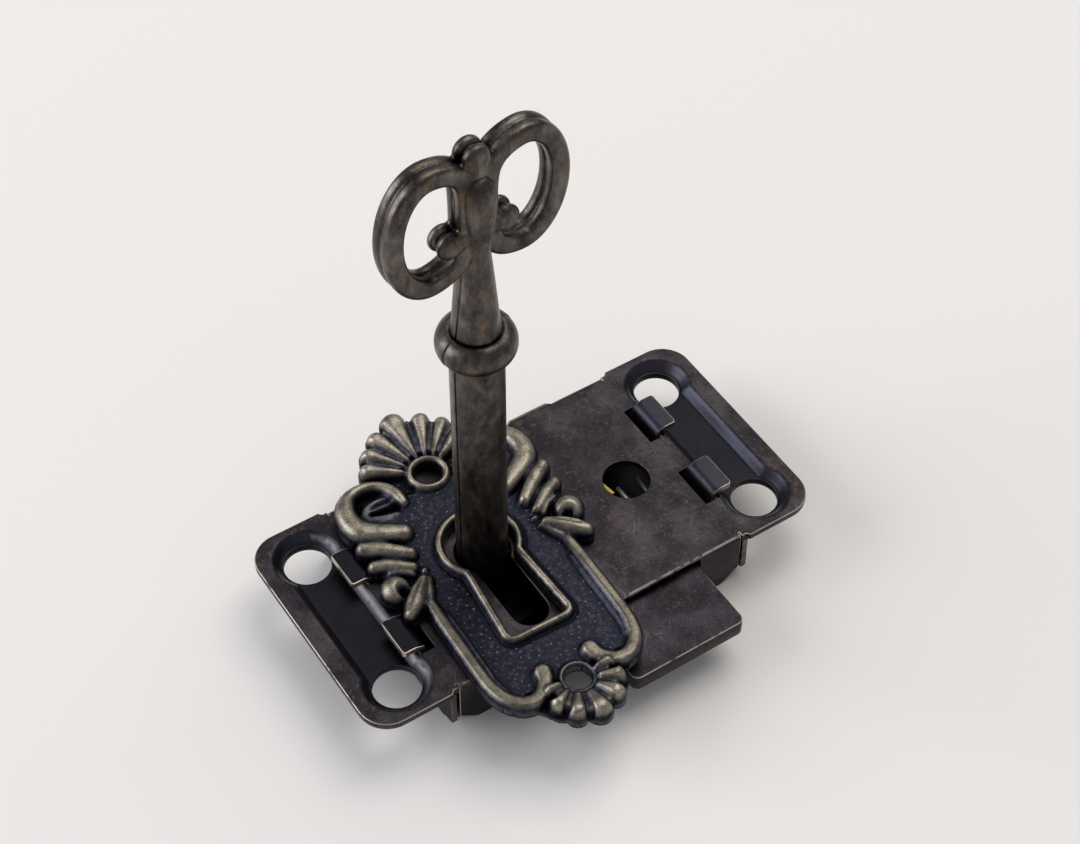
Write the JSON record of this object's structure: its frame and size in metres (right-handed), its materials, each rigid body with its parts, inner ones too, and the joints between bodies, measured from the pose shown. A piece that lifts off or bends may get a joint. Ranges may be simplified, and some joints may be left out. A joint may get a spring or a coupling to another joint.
{
  "type": "cabinet box lock",
  "caption": "Surface-mounted cabinet lock with a flat sliding bolt, a loose ornamental key plate and a two-loop barrel key standing in the keyhole.",
  "frame": {"origin": "middle of the back panel's flat outer face, on which the lock lies", "axes": "+Z out of the face plate, towards the key's bow; +X along the face plate's long side, from the keyhole end to the sight hole end; the bolt is thrown towards -Y"},
  "size_m": [0.066, 0.0546, 0.0789],
  "materials": {
    "plated_steel": "dark antique bronze plating with worn bright edges",
    "cast_alloy": "cast zinc alloy, blackened in the recesses and rubbed to olive bronze on what stands out",
    "spring_brass": "bare spring brass",
    "bright_steel": "bare steel"
  },
  "bodies": {
    "case": {"front_plate": "plated_steel", "back_cover": "plated_steel", "leaf_spring": "spring_brass", "hairpin_spring": "bright_steel", "drill_pin": "bright_steel", "bolt_guide_post": "bright_steel", "bolt_rest_stud_left": "bright_steel", "bolt_rest_stud_right": "bright_steel", "lower_ward_ring": "bright_steel", "upper_ward_ring": "bright_steel", "leaf_anchor_post": "bright_steel", "hairpin_post": "bright_steel", "hairpin_stop": "bright_steel"},
    "turning_key": {"key": "cast_alloy"},
    "sliding_bolt": {"bolt": "plated_steel"},
    "loose_key_plate": {"key_plate": "cast_alloy"}
  },
  "joints": [
    {"name": "key_turn", "type": "hinge", "parent": "case", "child": "turning_key", "pos_m": [-0.0077, 0, 0], "axis": [0, 0, 1], "range_deg": [0, 55.5]},
    {"name": "bolt_throw", "type": "slide", "parent": "case", "child": "sliding_bolt", "axis": [0, 1, 0], "range_m": [0, 0.01]},
    {"name": "key_plate_lift", "type": "slide", "parent": "case", "child": "loose_key_plate", "axis": [0, 0, 1], "range_m": [0, 0.03]}
  ],
  "couplings": [
    {"joint": "bolt_throw", "follows": "key_turn", "m_per_rad": 0.010323}
  ]
}
